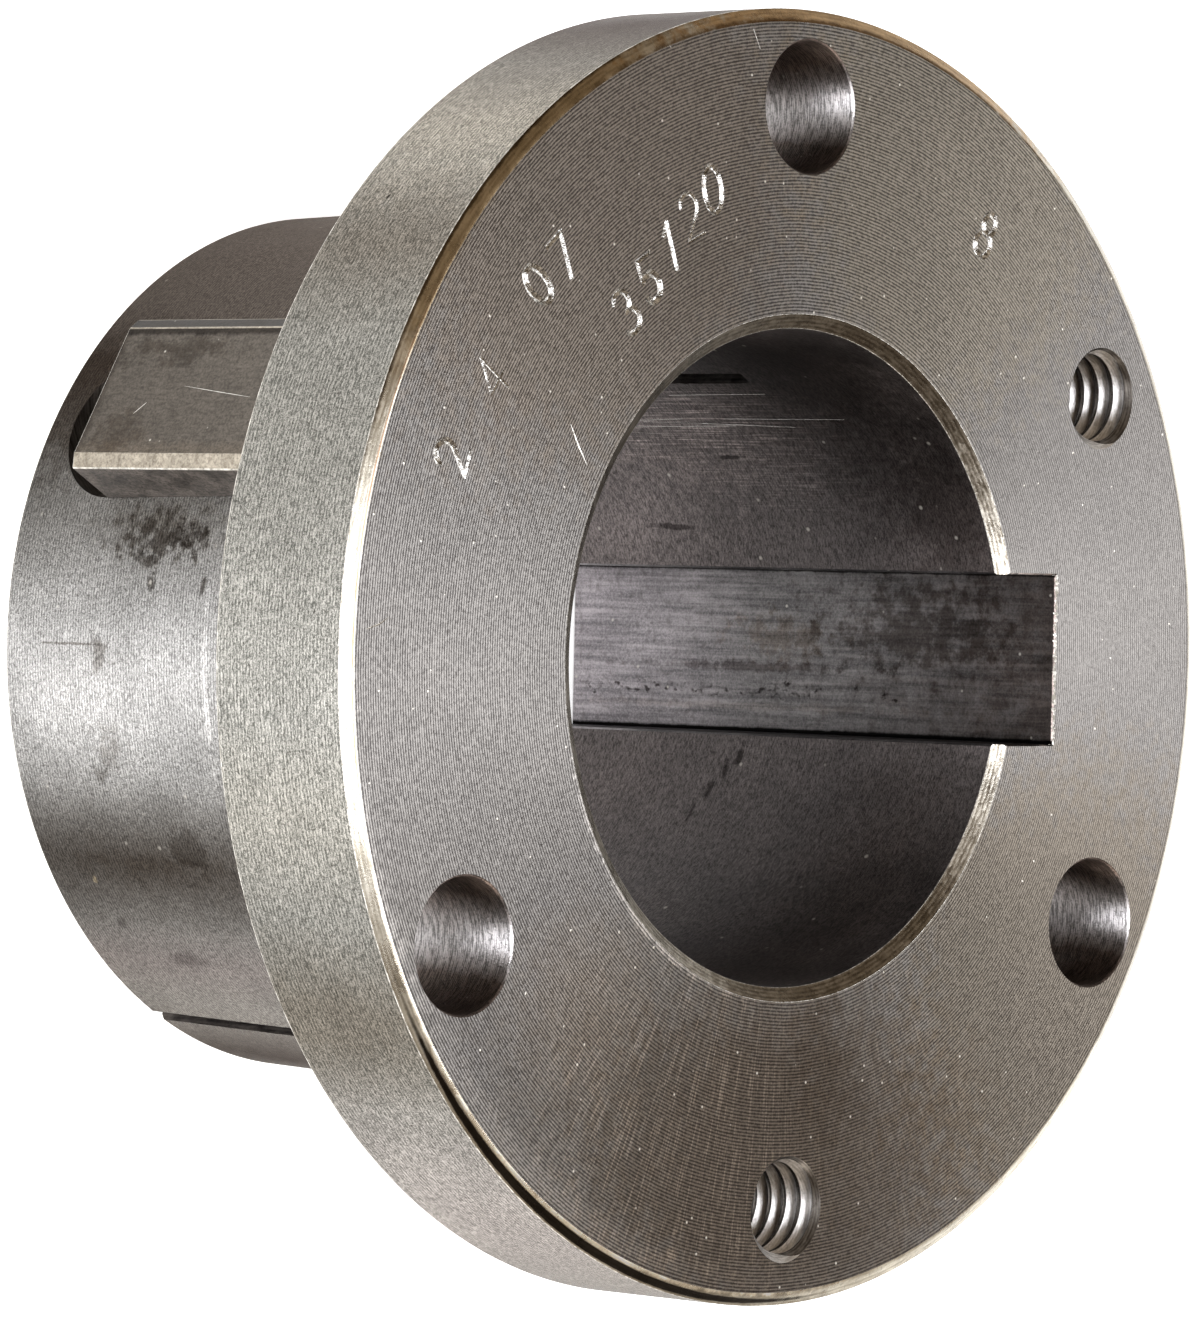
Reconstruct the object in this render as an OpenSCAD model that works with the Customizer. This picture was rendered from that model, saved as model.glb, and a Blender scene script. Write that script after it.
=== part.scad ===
// Split taper bushing: a flanged barrel with a keyed bore, slit lengthways so
// that it can close on a shaft, and a square-ended key in a milled pocket on
// the outside of the taper. It stands on the small end of the barrel, at z = 0.
// +Z runs up the bore and out of the flange face, and +Y points at the keyway.

/* [Flange] */
// Thickness of the flange
flange_t = 12.4; // [8:0.1:20]
// Width of the chamfer round the flange face, across the face
face_chamfer = 0.94; // [0.2:0.02:1.6]
// Angle of the chamfers at the flange face and at the bore, from the face
chamfer_angle = 30; // [20:1:45]

/* [Barrel] */
// Length of the bushing through the bore
bushing_l = 49.2; // [44:0.1:80]
// Diameter of the barrel at its small end
small_end_d = 65; // [63:0.1:66.5]
// The barrel tapers by one in this much, on the diameter
taper = 16; // [14:0.5:40]
// Edge break on the small end
small_end_chamfer = 0.45; // [0.1:0.05:1]
// Fillet where the barrel meets the back of the flange
shoulder_r = 0.8; // [0.3:0.1:1.2]

/* [Bore] */
// Diameter of the shaft bore
bore_d = 47.625; // [42:0.005:49]
// Width of the chamfer at each end of the bore, across the face
bore_chamfer = 1.04; // [0.2:0.02:1.6]
// Width of the keyway in the bore
keyway_w = 12.7; // [6:0.1:14]
// Depth of the keyway below the top of the bore wall
keyway_depth = 5.62; // [2:0.02:6.4]

/* [Saw cut] */
// Width of the saw cut that slits the barrel on both sides
slit_w = 1.4; // [0.8:0.1:2.4]
// Solid length left between the end of the cut and the back of the flange
slit_land = 3.7; // [2:0.1:10]
// Angle of the cut from the keyway
slit_angle = 60; // [50:1:70]

/* [External key] */
// Width of the key
key_w = 12.7; // [8:0.1:13]
// Height of the key, from the floor of its pocket to its top
key_h = 7.5; // [6:0.02:9]
// Height that the key stands above the taper, at the middle of its length
key_stand = 3.56; // [2:0.02:5]
// Width of the chamfer on the long top edges of the key, across the top
key_chamfer_w = 1; // [0.2:0.1:2]
// Depth of that chamfer, down the side
key_chamfer_h = 0.45; // [0.2:0.05:1.4]
// Clearance between the key and each side of its pocket
key_clear = 0.02; // [0.01:0.01:0.1]
// Land between the round end of the pocket and the small end
pocket_land = 2.8; // [1:0.1:8]
// Land between the round end of the pocket and the back of the flange
pocket_shoulder = 0.7; // [0.3:0.1:6]
// Angle of the key from the keyway
key_angle = 150; // [140:1:160]

/* [Screw holes] */
// Diameter of the clearance holes
clear_d = 9.6; // [5:0.05:14]
// Gap between a clearance hole and the big end of the taper
hole_gap = 1.35; // [0.8:0.05:6]
// Wall left between a clearance hole and the rim of the flange
rim_wall = 2.23; // [1.6:0.01:12]
// Edge break at both ends of a clearance hole
clear_edge = 0.12; // [0.05:0.01:0.3]
// Drilled diameter of the tapped jacking holes
tap_d = 6.6; // [3:0.05:6.8]
// Diameter of the countersink at both ends of a tapped hole
tap_sink_d = 7.9; // [7:0.05:9.5]

/* [Hidden] */

$fn = 96;
eps = 0.01;         // overlap that keeps a cut clean and a joined solid joined
over = 5;           // how far a cutter runs past the solid

keyway_dir = 90;    // the keyway points along +Y
clear_dirs = [for (a = [90, 210, 330]) keyway_dir + a];
tap_dirs = [for (a = [30, 270]) keyway_dir + a];

bore_r = bore_d / 2;
flange_z = bushing_l - flange_t;                   // back face of the flange
face_drop = face_chamfer * tan(chamfer_angle);     // depth of the rim chamfer
bore_drop = bore_chamfer * tan(chamfer_angle);     // depth of a bore chamfer

function taper_r(z) = (small_end_d + z / taper) / 2;   // barrel radius at z

hole_circle_r = taper_r(flange_z) + hole_gap + clear_d / 2;
flange_r = hole_circle_r + clear_d / 2 + rim_wall;

pocket_w = key_w + 2 * key_clear;
key_low = pocket_land + pocket_w / 2;              // the key's square ends lie
key_high = flange_z - pocket_shoulder - pocket_w / 2;  // on the pocket's centres
key_l = key_high - key_low;
key_top = taper_r((key_low + key_high) / 2) + key_stand;
pocket_floor = key_top - key_h;

// The turned blank, bored and chamfered: one revolved section
module turned_blank() {
    rotate_extrude() {
        polygon([
            [bore_r + bore_chamfer, 0],
            [taper_r(0) - small_end_chamfer, 0],
            [taper_r(small_end_chamfer), small_end_chamfer],
            [taper_r(flange_z), flange_z],
            [flange_r, flange_z],
            [flange_r, bushing_l - face_drop],
            [flange_r - face_chamfer, bushing_l],
            [bore_r + bore_chamfer, bushing_l],
            [bore_r, bushing_l - bore_drop],
            [bore_r, bore_drop],
        ]);
        shoulder_fillet();
    }
}

// Section of the fillet in the corner between the taper and the flange
module shoulder_fillet() {
    start_z = flange_z - shoulder_r;
    start_r = taper_r(start_z);
    difference() {
        translate([start_r - eps, start_z])
            square(shoulder_r + eps);
        translate([start_r + shoulder_r, start_z])
            circle(r = shoulder_r);
    }
}

// Keyway that the shaft's key slides through, open at both ends
module keyway() {
    rotate([0, 0, keyway_dir])
        translate([0, -keyway_w / 2, -over])
            cube([bore_r + keyway_depth, keyway_w, bushing_l + 2 * over]);
}

// One pass of a saw across the barrel: it slits both walls from the small end
module saw_cut() {
    cut_h = flange_z - slit_land + over;
    rotate([0, 0, keyway_dir + slit_angle])
        translate([0, 0, cut_h / 2 - over])
            cube([2 * flange_r + 2 * over, slit_w, cut_h], center = true);
}

// End-milled pocket for the external key, full round at both ends
module key_pocket() {
    rotate([0, 0, keyway_dir + key_angle])
        translate([pocket_floor, 0, 0])
            rotate([0, 90, 0])
                linear_extrude(taper_r(flange_z) + over - pocket_floor) {
                    for (z = [key_low, key_high])
                        translate([-z, 0])
                            circle(d = pocket_w);
                    translate([-key_high, -pocket_w / 2])
                        square([key_l, pocket_w]);
                }
}

// A hole drilled through the flange, with a cone at each mouth
module flange_hole(direction, hole_d, mouth_d) {
    cone_h = (mouth_d - hole_d) / 2 + eps;
    rotate([0, 0, direction])
        translate([hole_circle_r, 0, 0]) {
            translate([0, 0, flange_z - over])
                cylinder(d = hole_d, h = flange_t + 2 * over);
            translate([0, 0, bushing_l + eps - cone_h])
                cylinder(d1 = hole_d, d2 = mouth_d, h = cone_h);
            translate([0, 0, flange_z - eps])
                cylinder(d1 = mouth_d, d2 = hole_d, h = cone_h);
        }
}

module bushing_body() {
    color("darkgray")
        difference() {
            turned_blank();
            keyway();
            saw_cut();
            key_pocket();
            for (a = clear_dirs)
                flange_hole(a, clear_d, clear_d + 2 * clear_edge);
            for (a = tap_dirs)
                flange_hole(a, tap_d, tap_sink_d);
        }
}

// The key: bar stock with its long top edges chamfered, sawn square
module external_key() {
    half = key_w / 2;
    color("dimgray")
        rotate([0, 0, keyway_dir + key_angle])
            translate([0, 0, key_low])
                linear_extrude(key_l)
                    polygon([
                        [pocket_floor, -half],
                        [key_top - key_chamfer_h, -half],
                        [key_top, key_chamfer_w - half],
                        [key_top, half - key_chamfer_w],
                        [key_top - key_chamfer_h, half],
                        [pocket_floor, half],
                    ]);
}

bushing_body();
external_key();
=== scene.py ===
import math
import bmesh
import bpy
import numpy as np
from mathutils import Matrix


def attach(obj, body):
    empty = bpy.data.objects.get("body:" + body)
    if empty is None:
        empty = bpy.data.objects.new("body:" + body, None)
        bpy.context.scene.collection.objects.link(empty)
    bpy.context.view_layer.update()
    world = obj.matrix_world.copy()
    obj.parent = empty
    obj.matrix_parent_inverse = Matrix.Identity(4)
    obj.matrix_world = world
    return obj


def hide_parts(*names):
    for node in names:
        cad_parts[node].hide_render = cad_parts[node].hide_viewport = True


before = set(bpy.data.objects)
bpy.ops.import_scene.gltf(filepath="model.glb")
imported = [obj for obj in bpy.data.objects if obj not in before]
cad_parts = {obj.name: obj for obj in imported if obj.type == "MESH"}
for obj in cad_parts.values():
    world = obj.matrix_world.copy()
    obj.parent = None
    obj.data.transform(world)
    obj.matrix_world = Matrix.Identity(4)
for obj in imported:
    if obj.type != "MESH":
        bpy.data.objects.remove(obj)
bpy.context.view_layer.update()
scene = bpy.context.scene
metre = 0.001  # everything below is in millimetres and goes to metres through this
rng = np.random.default_rng(24)
print("frame loaded:", sorted(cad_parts))

# camera, at the photograph's viewing angle
camera = dict(
    place=(-6.978, -390.748, 386.192),
    turn=(-2.1647, -47.6007, 91.8329),
    lens=195.2,
    sensor=36,
    near=10,
    far=20000,
)
lens = bpy.data.cameras.new("camera")
lens.lens = camera["lens"]
lens.sensor_width = camera["sensor"]
lens.clip_start = camera["near"] * metre
lens.clip_end = camera["far"] * metre
eye = bpy.data.objects.new("camera", lens)
eye.location = [v * metre for v in camera["place"]]
eye.rotation_euler = [math.radians(v) for v in camera["turn"]]
scene.collection.objects.link(eye)
scene.camera = eye
scene.view_settings.view_transform = "Standard"


def linear(hexColour):  # sRGB hex to linear
    parts = [int(hexColour[i:i + 2], 16) / 255 for i in (1, 3, 5)]
    return [c / 12.92 if c <= 0.04045 else ((c + 0.055) / 1.055) ** 2.4 for c in parts] + [1.0]


def addNode(tree, kind, links, **settings):  # gives the node's first live output
    node = tree.nodes.new("ShaderNode" + kind)
    for name, value in settings.items():
        setattr(node, name, value)
    for key, value in links.items():
        named = [s for s in node.inputs if s.enabled and s.name == key]
        socket = node.inputs[key] if isinstance(key, int) else named[0]
        if isinstance(value, bpy.types.NodeSocket):
            tree.links.new(value, socket)
        else:
            socket.default_value = value
    return next((s for s in node.outputs if s.enabled), None)


# studio: pale floor, softboxes overhead, low in front and at the side, and a surround that is pale at the
# horizon and a dim warm brown above
studio = dict(
    floorSize=4000,
    floorDrop=0.02,
    floorColour="#E8E8E6",
    floorGlow=0.7,
    horizonColour="#EFEFEE",
    skyColour="#998B7A",
    skyFrom=0.4,
    wattsPerGlow=4,
    overhead=dict(aim=(0.04, 0.18, 1), away=600, size=(310, 780), glow=5.1, colour="#F3F7FF"),
    low=dict(aim=(0.15, -1, 0.3), away=600, size=(260, 340), glow=19.0, colour="#F6F9FF"),
    side=dict(aim=(1, 0.1, 0.22), away=600, size=(260, 240), glow=4.5, colour="#FFF8F0"),
)


def softbox(name, look):  # glow is the radiance seen in the metal
    lamp = bpy.data.lights.new(name, "AREA")
    lamp.shape = "RECTANGLE"
    lamp.size, lamp.size_y = (v * metre for v in look["size"])
    lamp.color = linear(look["colour"])[:3]
    lamp.energy = studio["wattsPerGlow"] * look["glow"] * lamp.size * lamp.size_y
    box = bpy.data.objects.new(name, lamp)
    aim = np.array(look["aim"], float)
    aim /= np.linalg.norm(aim)
    box.location = aim * look["away"] * metre
    overhead = abs(aim[2]) > 0.8
    side = np.cross((0, 1.0, 0) if overhead else (0, 0, 1.0), aim)
    side /= np.linalg.norm(side)
    box.rotation_euler = Matrix((side, np.cross(aim, side), aim)).transposed().to_euler()
    scene.collection.objects.link(box)


for where in ("overhead", "low", "side"):
    softbox(where + "Softbox", studio[where])

world = bpy.data.worlds.new("studio")
world.use_nodes = True
scene.world = world
sky = world.node_tree
sky.nodes.clear()
place = addNode(sky, "TexCoord", {})
height = addNode(sky, "SeparateXYZ", {"Vector": place.node.outputs["Generated"]}).node.outputs["Z"]
tone = addNode(sky, "ValToRGB", {"Fac": height})
ramp = tone.node.color_ramp
ramp.elements[0].position, ramp.elements[0].color = 0.0, linear(studio["horizonColour"])
ramp.elements[1].position, ramp.elements[1].color = studio["skyFrom"], linear(studio["skyColour"])
glow = addNode(sky, "Background", {"Color": tone, "Strength": 1.0})
addNode(sky, "OutputWorld", {"Surface": glow})

paper = bpy.data.materials.new("paleFloor")
paper.use_nodes = True
tree = paper.node_tree
tree.nodes.clear()
matt = addNode(tree, "BsdfDiffuse", {"Color": linear(studio["floorColour"])})
path = addNode(tree, "LightPath", {}).node.outputs
seen = addNode(tree, "Math", {0: path["Is Camera Ray"], 1: path["Is Glossy Ray"]}, operation="MAXIMUM")
seen = addNode(tree, "Math", {0: seen, 1: path["Is Transmission Ray"]}, operation="MAXIMUM")
lit = addNode(tree, "Math", {0: seen, 1: studio["floorGlow"]}, operation="MULTIPLY")
white = addNode(tree, "Emission", {"Color": (1, 1, 1, 1), "Strength": lit})
both = addNode(tree, "AddShader", {0: matt, 1: white})
addNode(tree, "OutputMaterial", {"Surface": both})
half = studio["floorSize"] * metre / 2
mesh = bpy.data.meshes.new("floor")
mesh.from_pydata([(-half, -half, 0), (half, -half, 0), (half, half, 0), (-half, half, 0)], [], [(0, 1, 2, 3)])
floor = bpy.data.objects.new("floor", mesh)
floor.location.z = -studio["floorDrop"] * metre
floor.data.materials.append(paper)
scene.collection.objects.link(floor)
print("studio set")

# body: the sizes of the turned blank
body = dict(
    segments=512,
    length=49.1999,
    flangeThick=12.4,
    flangeRadius=46.8299,
    rimChamfer=(0.94, 0.5427),
    boreRadius=23.8125,
    boreChamfer=(1.04, 0.6004),
    smallEndRadius=32.5,
    taper=1 / 32,
    smallEndChamfer=0.45,
    shoulder=0.8,
    edgeBreak=0.07,
    rimBreak=0.2,
    faceEdge=1.1,
)
flangeBack = body["length"] - body["flangeThick"]


def taperRadius(z):
    return body["smallEndRadius"] + z * body["taper"]


# zones round the two wide roundings, by the leg that starts there; a plain edge break has three steps
roundZones = dict(
    turnedBack=["turnedTaper"] * 9,
    turnedFace=["rimChamfer"] * 5 + ["turnedFace"] * 4,
)


def turnedProfile():
    # corners of the lathe profile: radius, height, zone of the leg that starts here, rounding
    top, rim, bore = body["length"], body["flangeRadius"], body["boreRadius"]
    wide, deep = body["rimChamfer"]
    boreWide, boreDeep = body["boreChamfer"]
    small, sharp, worn = body["smallEndChamfer"], body["edgeBreak"], body["faceEdge"]
    corners = [
        (bore + boreWide, 0, "smallEnd", sharp),
        (taperRadius(0) - small, 0, "boreChamfer", sharp),
        (taperRadius(small), small, "turnedTaper", sharp),
        (taperRadius(flangeBack), flangeBack, "turnedBack", body["shoulder"]),
        (rim, flangeBack, "turnedRim", body["rimBreak"]),
        (rim, top - deep, "rimChamfer", sharp),
        (rim - wide, top, "turnedFace", worn),
        (bore + boreWide, top, "boreChamfer", sharp),
        (bore, top - boreDeep, "boredWall", sharp),
        (bore, boreDeep, "boreChamfer", sharp),
    ]
    points, normals, legZones = [], [], []  # each leg keeps the normals of its two ends
    count = len(corners)
    for i, (r, z, zone, rounding) in enumerate(corners):
        here = np.array((r, z))
        before = np.array(corners[i - 1][:2])
        after = np.array(corners[(i + 1) % count][:2])
        into = (here - before) / np.linalg.norm(here - before)
        out = (after - here) / np.linalg.norm(after - here)
        turn = math.atan2(into[0] * out[1] - into[1] * out[0], into @ out)
        reach = rounding * abs(math.tan(turn / 2))
        edgeZones = roundZones.get(zone, ["brokenEdge"] * 3)
        steps = len(edgeZones)
        side = 1 if turn > 0 else -1
        centre = here - into * reach + side * rounding * np.array((-into[1], into[0]))
        for k in range(steps + 1):
            angle = math.atan2(-into[0], into[1]) + turn * k / steps
            outward = np.array((math.cos(angle), math.sin(angle)))
            points.append(centre + side * rounding * outward)
            normals.append(outward)
            legZones.append(edgeZones[k] if k < steps else zone)
    return np.array(points), np.array(normals), legZones


profile, profileNormals, profileZones = turnedProfile()


def newMesh(name, points, faces, zone):  # zone is one name, or a list with a name for each face
    mesh = bpy.data.meshes.new(name)
    mesh.from_pydata([tuple(p) for p in points], [], [tuple(f) for f in faces])
    numbers = [zones.index(z) for z in zone] if isinstance(zone, list) else [zones.index(zone)] * len(faces)
    mesh.polygons.foreach_set("material_index", numbers)
    work = bmesh.new()
    work.from_mesh(mesh)
    bmesh.ops.recalc_face_normals(work, faces=work.faces)
    work.to_mesh(mesh)
    work.free()
    thing = bpy.data.objects.new(name, mesh)
    scene.collection.objects.link(thing)
    return thing


def turnedBlank():
    count, around = len(profile), body["segments"]
    angles = np.arange(around) * 2 * math.pi / around
    ring = np.stack((np.cos(angles), np.sin(angles)), 1)
    points = np.concatenate([np.column_stack((ring * r, np.full(around, z))) for r, z in profile])
    faces, zone = [], []
    for i in range(count):
        j = (i + 1) % count
        for a in range(around):
            b = (a + 1) % around
            faces.append((i * around + a, i * around + b, j * around + b, j * around + a))
            zone.append(profileZones[i])
    return newMesh("bushing", points, faces, zone)


def loft(name, sections, zone):  # a closed solid through outlines of equal count
    count = len(sections[0])
    points = [p for section in sections for p in section]
    faces = [tuple(range(count)), tuple(range(len(points) - count, len(points)))]
    for s in range(len(sections) - 1):
        for a in range(count):
            b = (a + 1) % count
            faces.append((s * count + a, s * count + b, (s + 1) * count + b, (s + 1) * count + a))
    return newMesh(name, points, faces, zone)


def cut(thing, tool):  # takes the tool's solid out of the thing; the new faces keep the tool's zone
    for piece in (thing, tool):
        if len(piece.data.materials) < len(steels):
            for steel in steels:
                piece.data.materials.append(steel)
    step = thing.modifiers.new("cut", "BOOLEAN")
    step.operation = "DIFFERENCE"
    step.solver = "MANIFOLD"
    step.object = tool
    graph = bpy.context.evaluated_depsgraph_get()
    made = bpy.data.meshes.new_from_object(thing.evaluated_get(graph))
    thing.modifiers.clear()
    thing.data = made
    bpy.data.objects.remove(tool)


# finishes: what each tool leaves on the steel, with lengths in millimetres. crest and valley are the light
# and dark of the tool marks, pitch and bead the size of their grain across and along, and feed the spacing of
# the lines where it isn't the pitch. lines, beads and grit are shares, and soft is how gently light and dark
# meet. spread draws a gleam out across the marks, edge dulls the steel at a glancing view, and nominal is the
# radius that the beads are laid round. The rings of the face have their real 0.24 mm; elsewhere the grain is
# drawn about twice its size, so that it shows.
usual = dict(
    rough=0.42, spread=0.3, cut="turns", pitch=0.3, bead=0.5, lines=0.0, beads=0.6, grit=0.2, gritSize=0.2,
    soft=0.3, depth=0.01, mottle=0.2, mottleSize=3, pore=0.3, poreSize=0.3, speck=0.0, speckSize=2,
    edge="#FFFFFF", nominal=35,
)
finishes = dict(
    turnedFace=dict(  # faced steel: fine rings that draw the light out into a bow
        crest="#827E79", valley="#3F3C3A", rough=0.46, spread=0.82, cut="rings", pitch=0.24, bead=0.36,
        lines=0.5, beads=0.28, grit=0.22, gritSize=0.16, soft=0.24, depth=0.012, mottle=0.14, mottleSize=9,
        speck=0.7, speckSize=1.3),
    turnedRim=dict(  # turned steel rim: short grain round the edge, dark pores in a greenish grey
        crest="#A09D96", valley="#4E4E49", spread=0.6, pitch=0.12, bead=0.34, lines=0.15, beads=0.36,
        grit=0.4, gritSize=0.11, soft=0.22, mottle=0.12, mottleSize=8, pore=0.55, poreSize=0.2, speck=0.2,
        speckSize=1.8, feed=0.32, edge="#CBC6C4"),
    turnedBack=dict(  # faced steel: rings again, a little duller than the front
        crest="#9E988E", valley="#4D4A45", spread=0.8, cut="rings", pitch=0.24, bead=0.36, lines=0.5,
        beads=0.3, gritSize=0.16, soft=0.24, depth=0.012, mottle=0.16, mottleSize=9, pore=0.25, speck=0.3,
        speckSize=1.6),
    turnedTaper=dict(  # ground steel taper: silvery, with handling stains and painted bands of light and shade
        crest="#979591", valley="#585654", rough=0.5, spread=0.88, pitch=0.12, bead=0.36, lines=0.18,
        beads=0.38, grit=0.38, gritSize=0.12, soft=0.22, mottle=0.14, mottleSize=6, pore=0.35,
        poreSize=0.25, speck=0.3, speckSize=2.2, feed=0.29, edge="#DDD6D2"),
    smallEnd=dict(  # faced steel: the last cut of the lathe, with plain rings
        crest="#A19B93", valley="#4C4844", spread=0.8, cut="rings", pitch=0.22, bead=0.36, lines=0.5,
        beads=0.3, gritSize=0.16, soft=0.24, mottleSize=6, speck=0.2, speckSize=1.6),
    boredWall=dict(  # bored and oiled steel: dark, brown and soft in its gloss
        crest="#746D6B", valley="#3B3736", rough=0.5, spread=0.5, pitch=0.16, bead=0.7, lines=0.2,
        beads=0.5, grit=0.3, gritSize=0.16, depth=0.008, mottle=0.25, mottleSize=6, pore=0.4, speck=0.5,
        speckSize=2.2),
    brokenEdge=dict(  # edges of the steel eased with a file, painted as dull white lines: partly the filed metal, partly a painted highlight
        crest="#D2CEC6", valley="#8F8A80", rough=0.5, spread=0.0, beads=0.7, grit=0.3, soft=0.2,
        depth=0.006, mottle=0.3, mottleSize=2, pore=0.5, poreSize=0.25),
    rimChamfer=dict(  # turned chamfer: smooth, and painted bright as a painted highlight, with stains where oil has dried
        crest="#CFC9BB", valley="#A59D8D", rough=0.28, pitch=0.16, bead=1.6, lines=0.2, depth=0.006,
        mottle=0.12, mottleSize=4, pore=0.2),
    boreChamfer=dict(  # turned chamfer: painted bright, a painted highlight that draws a line round the bore, browned in places
        crest="#CBC5B9", valley="#857D70", rough=0.28, pitch=0.16, bead=1.4, lines=0.3, beads=0.5,
        soft=0.25, depth=0.008),
    broachedKeyway=dict(  # broached steel: long streaks, and painted shade in brown towards the mouth
        crest="#8B8786", valley="#575555", rough=0.5, spread=0.2, cut="straight", pitch=0.45, bead=9.0,
        beads=0.55, grit=0.45, soft=0.35, depth=0.008, mottle=0.22, mottleSize=4, pore=0.35, poreSize=0.4,
        speck=0.5, speckSize=1.6),
    sawnSlit=dict(  # sawn steel: rough and dark, it hardly gleams
        crest="#57514D", valley="#2E2A28", rough=0.55, cut="straight", pitch=0.4, bead=2.0, lines=0.2,
        depth=0.02, mottle=0.3, poreSize=0.4),
    milledPocket=dict(  # end-milled steel: plain and dark behind the key
        crest="#77716B", valley="#47423D", rough=0.45, spread=0.2, cut="straight", pitch=0.4, bead=2.0,
        lines=0.2, mottle=0.3, poreSize=0.4),
    drilledHole=dict(  # drilled steel: rings of bright and dark round the wall; the crest is painted pale, a painted highlight for the band across it, and its marks paint shade at the sides
        crest="#C6C1C0", valley="#716F6D", spread=0.9, pitch=0.17, bead=1.1, lines=0.2, beads=0.55,
        grit=0.25, gritSize=0.16, soft=0.22, depth=0.014, mottle=0.15, speck=0.3, speckSize=1.5,
        nominal=4.8),
    countersink=dict(  # countersunk steel: a smooth dark cone at the mouth of a thread
        crest="#736E68", valley="#48433F", rough=0.3, spread=0.4, pitch=0.15, bead=1.0, lines=0.3,
        beads=0.5, depth=0.004, pore=0.1, poreSize=0.4, nominal=3.7),
    tappedFlankHighlight=dict(  # tapped steel: the flank that faces out is painted near white, a painted highlight
        crest="#EBE8E5", valley="#B8B4B0", rough=0.36, pitch=0.12, bead=1.2, lines=0.2, depth=0.003,
        mottleSize=2, pore=0.2, nominal=3.7),
    threadCrest=dict(  # tapped steel: crests and roots, dark with cutting oil
        crest="#77726F", valley="#423E3B", rough=0.36, pitch=0.12, bead=1.2, lines=0.2, depth=0.003,
        mottleSize=2, pore=0.2, nominal=3.7),
    stampedDigit=dict(  # punched steel: burnished flanks painted bright, partly the burnish and partly a painted highlight
        crest="#E2E0DB", valley="#6E6962", rough=0.22, spread=0.0, cut="rings", beads=0.5, grit=0.5,
        gritSize=0.18, soft=0.25, mottleSize=0.6, pore=0.4, poreSize=0.25),
    scratch=dict(  # scratched steel: fresh bright metal
        crest="#DAD7D0", valley="#A09B92", rough=0.35, spread=0.0, cut="rings", grit=0.4, depth=0.002,
        mottleSize=0.8, pore=0.0, poreSize=0.4),
    drawnTop=dict(  # cold drawn steel bar: smooth and dark, with handling marks
        crest="#5C564F", valley="#443F39", rough=0.4, spread=0.2, cut="straight", bead=1.2, beads=0.4,
        grit=0.6, depth=0.003, mottle=0.16, pore=0.35, poreSize=0.25, speck=0.5, speckSize=1.3),
    drawnChamferHighlight=dict(  # drawn chamfer on one side of the bar: painted paler than its top, a painted highlight
        crest="#A69E90", valley="#7E766A", rough=0.45, spread=0.2, cut="straight", pitch=0.25, bead=0.6,
        beads=0.5, grit=0.5, depth=0.005, mottle=0.15, mottleSize=1.5),
    drawnSide=dict(  # drawn side of the bar: brown and mottled where it was filed to fit
        crest="#756D67", valley="#4D4843", spread=0.2, cut="straight", bead=1.0, beads=0.5, grit=0.5,
        depth=0.004, mottle=0.5, mottleSize=1.4, pore=0.6, speck=0.3, speckSize=1.5),
    sawnEnd=dict(  # sawn end of the bar: coarse straight lines
        crest="#8C857D", valley="#5F5850", rough=0.5, spread=0.5, cut="straight", bead=4.0, lines=0.4,
        beads=0.4, depth=0.015, mottle=0.25, mottleSize=2, pore=0.25, poreSize=0.4),
    keyEdgeHighlight=dict(  # edges of the bar: partly rubbed bright, partly a painted highlight
        crest="#D6D2CA", valley="#A59F94", rough=0.32, spread=0.0, cut="straight", bead=0.6, grit=0.4,
        depth=0.003, mottle=0.3, mottleSize=0.9, pore=0.5, poreSize=0.25),
)
zones = list(finishes)  # every face of a mesh has one, by its number here

# marks: patches on a finish, some of them stains and wear and some painted light and shade, as at (radius,
# degrees, height), size (round, outward, up), tint, gain, amount, soft and ragged, with lengths in
# millimetres. The tint times the gain goes over what is under it, grain breaks a patch into streaks of that
# size, and plain fades the tool marks into their mean.
everywhere = 400  # longer than the part, for a patch with no end in that direction


def patch(at, size, tint, gain, amount, soft, ragged, grain=None, plain=0):
    return dict(
        at=at, size=size, tint=tint, gain=gain, amount=amount, soft=soft, ragged=ragged,
        grain=grain, plain=plain)


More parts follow.
